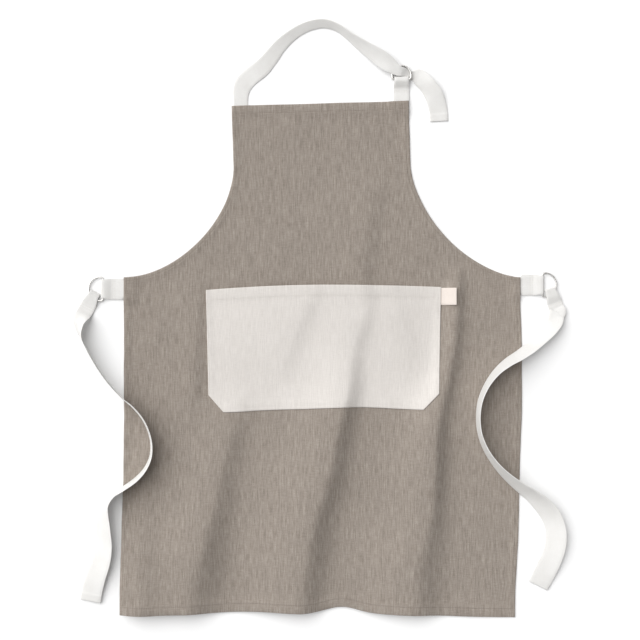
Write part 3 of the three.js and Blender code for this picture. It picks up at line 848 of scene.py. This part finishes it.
# Tabs: how far the fold stands open round the wire, and how far it takes to close behind it.
tab_open, tab_slope = 0.003, 0.012
waist_fold_width, tucked_narrowing = 0.032, 0.008
tab_stations = {}
for side, sign in (("left", -1), ("right", 1)):
    low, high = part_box(f"{side}_waist_tab")
    shown = bar_x - skirt
    path, widths = folded(wire, waist_fold_width, tie_width, tab_open, tab_slope, shown + tuck)
    widths = widths - tucked_narrowing * ease(shown, shown + 0.003, path[:, 0])
    centre, across = placed(path, (sign * bar_x, (low.y + high.y) / 2), (-sign, 0))
    tab = strip(f"{side}_tab", centre, across, widths, cotton_tape, tie_width)
    tab_stations[side] = (centre, across, widths)
    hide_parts(f"{side}_waist_tab")
    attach(tab, "apron")

neck_tab_width, neck_fold_width = 0.027, 0.024
# Where the neck tab lies, and the bar of the neck rings that it folds round.
low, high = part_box("neck_ring_tab")
neck_bar_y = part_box("neck_ring_back")[0].y + wire / 2
neck_tab_middle = (low.x + high.x) / 2
path, widths = folded(
    2 * wire + gap, neck_fold_width, neck_tab_width, tab_open, tab_slope, neck_bar_y - top + tuck)
centre, across = placed(path, (neck_tab_middle, neck_bar_y), (0, -1))
neck_tab = strip("neck_tab", centre, across, widths, cotton_tape, neck_tab_width)
tab_stations["neck"] = (centre, across, widths)
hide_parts("neck_ring_tab")
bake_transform(neck_tab)

strap_exit, exit_heading = (0.1565, 0.4808), (0.96, -0.28)
over_rings = 0.0085             # lift that carries the strap over both neck rings
# The neck strap and its tail: x, y, lean from flat, lift, width.
strap_rows = [
    (-0.139, top - tuck, 0, 0, 0.024), (-0.139, top - 0.004, 0, 0, 0.024), (-0.139, 0.444, 0, 0, 0.025),
    (-0.1386, 0.452, 0, 0, 0.027), (-0.134, 0.466, 0, 0, 0.030), (-0.122, 0.479, 0, 0, 0.030),
    (-0.104, 0.493, 4, 0, 0.029), (-0.088, 0.511, 8, 0, 0.026), (-0.074, 0.529, 12, 0, 0.023),
    (-0.057, 0.545, 16, 0, 0.020), (-0.038, 0.558, 20, 0, 0.018), (-0.016, 0.5665, 26, 0, 0.017),
    (0.006, 0.568, 38, 0, 0.017), (0.027, 0.560, 54, 0, 0.018), (0.046, 0.546, 54, 0, 0.020),
    (0.066, 0.531, 40, 0.001, 0.023), (0.085, 0.518, 26, 0.003, 0.026), (0.101, 0.507, 14, 0.006, 0.028),
    (0.112, 0.499, 4, over_rings, 0.026), (0.120, 0.493, 0, over_rings, 0.022),
    (0.128, 0.488, 0, over_rings, 0.018), (0.138, 0.4858, 0, 0.003, 0.015),
    (*ahead(strap_exit, exit_heading, -0.011), 0, 0, 0.012),
    (*ahead(strap_exit, exit_heading, -0.0065), 0, 0, 0.012),
]
tail_rows = [
    (*ahead(strap_exit, exit_heading, -0.0062), 0, 0, 0.012),
    (*ahead(strap_exit, exit_heading, 0), 0, 0, 0.021),
    (*ahead(strap_exit, exit_heading, 0.005), 0, 0, 0.026), (0.1685, 0.4743, 6, 0, 0.028),
    (0.178, 0.4635, 16, 0, 0.029), (0.187, 0.451, 12), (0.193, 0.437, 4), (0.197, 0.420, 0),
    (0.198, 0.403, 0),
]

centre, across, widths = laid(strap_rows, strap_width)
tucked = ease(top + 0.012, top + 0.002, centre[:, 1]) * (centre[:, 0] < 0)
centre[:, 2] = centre[:, 2] * (1 - tucked) + (floor_gap + tape / 2) * tucked
strap = strip("neck_loop_strap", centre, across, widths, cotton_tape, strap_width)
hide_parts("neck_strap")
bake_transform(strap)

centre, across, widths = laid(tail_rows, strap_width)
tail = strip(
    "neck_loop_tail", centre, across, widths, cotton_tape, strap_width, hemmed(centre))
tail_line = (centre, across, widths)
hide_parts("neck_strap_tail")
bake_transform(tail)

# The label is a short tape folded in half and caught under the pocket's edge.
label_low, label_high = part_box("pocket_label")
label_width = label_high.y - label_low.y
label_thick = 0.0004
label_low_layer, label_high_layer = 0.00025, 0.00085     # heights of its two layers
label_bend = (label_high_layer - label_low_layer) / 2
label_rise = 0.0045             # how far its free end curls up
turn = np.linspace(math.pi / 2, -math.pi / 2, 9)
label_end = label_high.x + 0.0030
reach_in = label_end - label_low.x + 0.006
flat_run = np.linspace(1, 0, 14)
path = np.vstack([
    np.stack([reach_in * flat_run[:-1], np.full(13, label_high_layer)], 1),
    np.stack([-label_bend * np.cos(turn), label_low_layer + label_bend * (1 + np.sin(turn))], 1),
    np.stack([reach_in * flat_run[::-1][1:], np.full(13, label_low_layer)], 1)])
centre, across = placed(path, (label_end - label_bend, (label_low.y + label_high.y) / 2 - 0.001), (-1, 0))
centre[:, 2] += lie(centre[:, 0], centre[:, 1]) + cloth + 0.0002
flatness = np.clip((label_end - centre[:, 0]) / reach_in, 0, 1)
centre[:, 2] += label_rise * (1 - flatness) ** 2
label = strip("label_tape", centre, across, np.full(len(centre), label_width), label_tape,
              label_width, label_thick)
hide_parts("pocket_label")
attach(label, "apron")


# ---- rings ---------------------------------------------------------------------------------------
def d_ring(name, node, bar, reach, bow_side, body):
    """A wire D-ring: a straight bar with small round corners, and a bow on one side of it."""
    low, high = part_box(node)
    half, corner, shoulder = bar / 2 + wire / 2, 0.004, 0.006
    quarter = np.linspace(0, math.pi / 2, 9)
    half_turn = np.linspace(0, math.pi, 41)
    parts = [
        np.stack([np.zeros(12), np.linspace(half - corner, corner - half, 12)], 1),
        np.stack([corner - corner * np.cos(quarter), corner - half - corner * np.sin(quarter)], 1)[1:],
        np.stack([np.linspace(corner, shoulder, 3), np.full(3, -half)], 1)[1:],
        np.stack([shoulder + (reach - shoulder) * np.sin(half_turn), -half * np.cos(half_turn)], 1)[1:],
        np.stack([np.linspace(shoulder, corner, 3), np.full(3, half)], 1)[1:],
        np.stack([corner - corner * np.sin(quarter), half - corner + corner * np.cos(quarter)], 1)[1:-1],
    ]
    flat = np.vstack(parts)
    if bow_side == "up":
        middle = np.array([(low.x + high.x) / 2, low.y + wire / 2])
        flat = np.stack([-flat[:, 1], flat[:, 0]], 1) + middle
    else:
        bar_at, turned = (low.x + wire / 2, 1) if bow_side == "right" else (high.x - wire / 2, -1)
        flat = flat * turned + np.array([bar_at, (low.y + high.y) / 2])
    along = unit(np.roll(flat, -1, axis=0) - np.roll(flat, 1, axis=0))
    outward = np.stack([along[:, 1], -along[:, 0]], 1)
    sides = 14
    height = (low.z + high.z) / 2
    points = []
    for place, out in zip(flat, outward):
        for k in range(sides):
            turn = 2 * math.pi * k / sides
            reach_out = wire / 2 * math.cos(turn)
            points.append((place[0] + out[0] * reach_out, place[1] + out[1] * reach_out,
                           height - wire / 2 * math.sin(turn)))
    count = len(flat)
    faces = [(i * sides + k, i * sides + (k + 1) % sides, ((i + 1) % count) * sides + (k + 1) % sides,
              ((i + 1) % count) * sides + k) for i in range(count) for k in range(sides)]
    ring = make_piece(name, points, faces, ring_wire)
    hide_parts(node)
    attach(ring, body)


waist_bar, waist_reach = 0.037, 0.024
neck_bar, neck_reach = 0.029, 0.023
d_ring("left_ring_wire", "left_waist_ring", waist_bar, waist_reach, "left", "left_ring")
d_ring("right_ring_wire", "right_waist_ring", waist_bar, waist_reach, "right", "right_ring")
d_ring("neck_ring_wire_back", "neck_ring_back", neck_bar, neck_reach, "up", "neck_loop")
d_ring("neck_ring_wire_front", "neck_ring_front", neck_bar, neck_reach, "up", "neck_loop")


# ---- stitches ------------------------------------------------------------------------------------
stitch_pitch = 0.003


def stitch_tree():
    """Node tree that lays small rounded stitches along a line."""
    tree = bpy.data.node_groups.new("row_of_stitches", "GeometryNodeTree")
    tree.interface.new_socket("Line", in_out="INPUT", socket_type="NodeSocketGeometry")
    for name, kind, value in (("Pitch", "Float", stitch_pitch), ("Stitch Length", "Float", 0.0024),
                              ("Thread", "Float", 0.0006), ("Unevenness", "Float", 0.12), ("Seed", "Int", 3)):
        socket = tree.interface.new_socket(name, in_out="INPUT", socket_type=f"NodeSocket{kind}")
        socket.default_value = value
    tree.interface.new_socket("Finish", in_out="INPUT", socket_type="NodeSocketMaterial")
    tree.interface.new_socket("Stitches", in_out="OUTPUT", socket_type="NodeSocketGeometry")
    new, link = tree.nodes.new, tree.links.new
    given, result = new("NodeGroupInput"), new("NodeGroupOutput")
    even = new("GeometryNodeResampleCurve")
    even.mode = "LENGTH"
    link(given.outputs["Line"], even.inputs["Curve"])
    link(given.outputs["Pitch"], even.inputs["Length"])
    bead = new("GeometryNodeMeshUVSphere")
    bead.inputs["Segments"].default_value = 6
    bead.inputs["Rings"].default_value = 4
    bead.inputs["Radius"].default_value = 0.5
    smooth = new("GeometryNodeSetShadeSmooth")
    link(bead.outputs["Mesh"], smooth.inputs["Geometry"])
    size = new("ShaderNodeCombineXYZ")
    link(given.outputs["Stitch Length"], size.inputs["X"])
    link(given.outputs["Thread"], size.inputs["Y"])
    link(given.outputs["Thread"], size.inputs["Z"])
    uneven = new("FunctionNodeRandomValue")
    uneven.data_type = "FLOAT"
    spread_low, spread_high = new("ShaderNodeMath"), new("ShaderNodeMath")
    spread_low.operation, spread_high.operation = "SUBTRACT", "ADD"
    for node in (spread_low, spread_high):
        node.inputs[0].default_value = 1
        link(given.outputs["Unevenness"], node.inputs[1])
    floats = [s for s in uneven.inputs if s.type == "VALUE"]
    link(spread_low.outputs[0], floats[0])
    link(spread_high.outputs[0], floats[1])
    link(given.outputs["Seed"], uneven.inputs["Seed"])
    scaled = new("ShaderNodeVectorMath")
    scaled.operation = "SCALE"
    link(size.outputs["Vector"], scaled.inputs[0])
    link([s for s in uneven.outputs if s.type == "VALUE"][0], scaled.inputs["Scale"])
    tangent = new("GeometryNodeInputTangent")
    aim = new("FunctionNodeAlignRotationToVector")
    aim.axis = "X"
    link(tangent.outputs["Tangent"], aim.inputs["Vector"])
    lay = new("GeometryNodeInstanceOnPoints")
    link(even.outputs["Curve"], lay.inputs["Points"])
    link(smooth.outputs["Geometry"], lay.inputs["Instance"])
    link(aim.outputs["Rotation"], lay.inputs["Rotation"])
    link(scaled.outputs["Vector"], lay.inputs["Scale"])
    real, paint = new("GeometryNodeRealizeInstances"), new("GeometryNodeSetMaterial")
    link(lay.outputs["Instances"], real.inputs["Geometry"])
    link(real.outputs["Geometry"], paint.inputs["Geometry"])
    link(given.outputs["Finish"], paint.inputs["Material"])
    link(paint.outputs["Geometry"], result.inputs["Stitches"])
    return tree


stitch_rows = stitch_tree()
socket_of = {item.name: item.identifier
             for item in stitch_rows.interface.items_tree if item.in_out == "INPUT"}


def stitches(name, lines, material, slot, seed, **sizes):
    """Rows of stitches along lines of points, as one plain mesh."""
    curve = bpy.data.curves.new(name, "CURVE")
    curve.dimensions = "3D"
    for line in lines:
        spline = curve.splines.new("POLY")
        spline.points.add(len(line) - 1)
        spline.points.foreach_set("co", np.column_stack([line, np.ones(len(line))]).ravel())
    guide = bpy.data.objects.new(f"{name}_guide", curve)
    scene.collection.objects.link(guide)
    rows = guide.modifiers.new("stitches", "NODES")
    rows.node_group = stitch_rows
    rows[socket_of["Finish"]] = material
    rows[socket_of["Seed"]] = seed
    for key, value in sizes.items():
        rows[socket_of[key.replace("_", " ").title()]] = value
    bpy.context.view_layer.update()
    evaluated = guide.evaluated_get(bpy.context.evaluated_depsgraph_get())
    mesh = bpy.data.meshes.new_from_object(evaluated)
    mesh.name = name
    bpy.data.objects.remove(guide)
    piece = bpy.data.objects.new(name, mesh)
    scene.collection.objects.link(piece)
    return piece


def panel_line(first, last):
    """The sewing line of the hems between two points of the panel's outline."""
    line = ring_points[stitch_ring][first:last]
    return np.column_stack([line, lie(line[:, 0], line[:, 1]) + hem_height - 0.00015])


# Where along the outline each of the panel's four lines of stitches begins and ends.
corner = counts["bib"] + counts["armhole"] + counts["side"]
hem_end = corner + 2 * counts["half_hem"] + 1
top_start = hem_end + corner
for name, node, first, last, seed in (
        ("right_edge_stitches", "right_edge_stitching", 1, corner, 1),
        ("skirt_hem_stitches", "skirt_hem_stitching", corner, hem_end, 2),
        ("left_edge_stitches", "left_edge_stitching", hem_end, top_start, 3),
        ("bib_hem_stitches", "bib_hem_stitching", top_start, ring_count, 4)):
    sewn = stitches(name, [panel_line(first, last)], panel_thread, "panel_thread", seed)
    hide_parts(node)
    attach(sewn, "apron")


def on_pocket(across, y, height):
    """Points this far above the pocket's underside."""
    x, new_y, rise, _ = pocket_underside(across, y)
    return np.column_stack([x, new_y, rise + height])


mouth_across = np.linspace(-pocket_half + 0.004, pocket_half - 0.004, 120)
mouth_line = on_pocket(mouth_across, mouth_at(mouth_across) - pocket_hem, cloth + 0.0007)
sewn = stitches("pocket_hem_stitches", [mouth_line], pale_thread, "pale_thread", 5)
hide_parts("pocket_hem_stitching")
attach(sewn, "apron")

seam_corners = np.array([
    (-pocket_half + seam_line, pocket_top - seam_line),
    (-pocket_half + seam_line, pocket_bottom + pocket_clip_rise + seam_line / 2),
    (-pocket_half + pocket_clip + seam_line / 2, pocket_bottom + seam_line),
    (pocket_half - pocket_clip - seam_line / 2, pocket_bottom + seam_line),
    (pocket_half - seam_line, pocket_bottom + pocket_clip_rise + seam_line / 2),
    (pocket_half - seam_line, pocket_top - seam_line)])
seam_path = np.vstack([
    np.linspace(a, b, max(2, int(np.hypot(*(b - a)) / stitch_pitch)), endpoint=False)
    for a, b in zip(seam_corners[:-1], seam_corners[1:])])
seam_3d = on_pocket(seam_path[:, 0], seam_path[:, 1], cloth + 0.0005)
sewn = stitches("pocket_seam_stitches", [seam_3d], pale_thread, "pale_thread", 6)
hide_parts("pocket_seam_stitching")
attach(sewn, "apron")


def row_across(stations, index, thick=tape, face=1):
    """A line of points across most of a tape at one station, on the face that looks up."""
    centre, across, widths = stations
    along = unit(np.gradient(centre, axis=0))[index]
    across_here = unit(across[index] - np.dot(across[index], along) * along)
    normal = np.cross(along, across_here) * face
    places = np.linspace(-0.86, 0.86, 12)[:, None] * widths[index] / 2
    return centre[index] + across_here * places + normal * (thick / 2 + 0.00005)


def station_at(stations, distance, from_end=False):
    """The station this far along a tape from its start, or from its end."""
    walked = walk(stations[0])
    if from_end:
        return int(np.argmin(np.abs(walked - (walked[-1] - distance))))
    return int(np.argmin(np.abs(walked - distance)))


fine = {"pitch": 0.0026, "stitch_length": 0.0021}
end_row, hem_thick = 0.010, tape * 1.7
for side, (_, fold, heading, _) in waist.items():
    stations = tie_stations[side]
    lines = [row_across(stations, station_at(stations, seam_at[side] - d)) for d in (0.0025, 0.0065)]
    lines.append(row_across(stations, station_at(stations, end_row, True), thick=hem_thick))
    sewn = stitches(f"{side}_tie_stitches", lines, pale_thread, "pale_thread", 7, **fine)
    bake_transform(sewn)
    stations = tab_stations[side]
    lines = [row_across(stations, station_at(stations, tuck + d), face=-1) for d in (0.014, 0.0175)]
    sewn = stitches(f"{side}_tab_stitches", lines, pale_thread, "pale_thread", 8, **fine)
    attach(sewn, "apron")

stations = tab_stations["neck"]
lines = [row_across(stations, station_at(stations, tuck + d), face=-1) for d in (0.016, 0.0195)]
sewn = stitches("neck_tab_stitches", lines, pale_thread, "pale_thread", 9, **fine)
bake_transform(sewn)
lines = [row_across(tail_line, station_at(tail_line, end_row, True), thick=hem_thick)]
sewn = stitches("neck_tail_stitches", lines, pale_thread, "pale_thread", 10, **fine)
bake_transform(sewn)
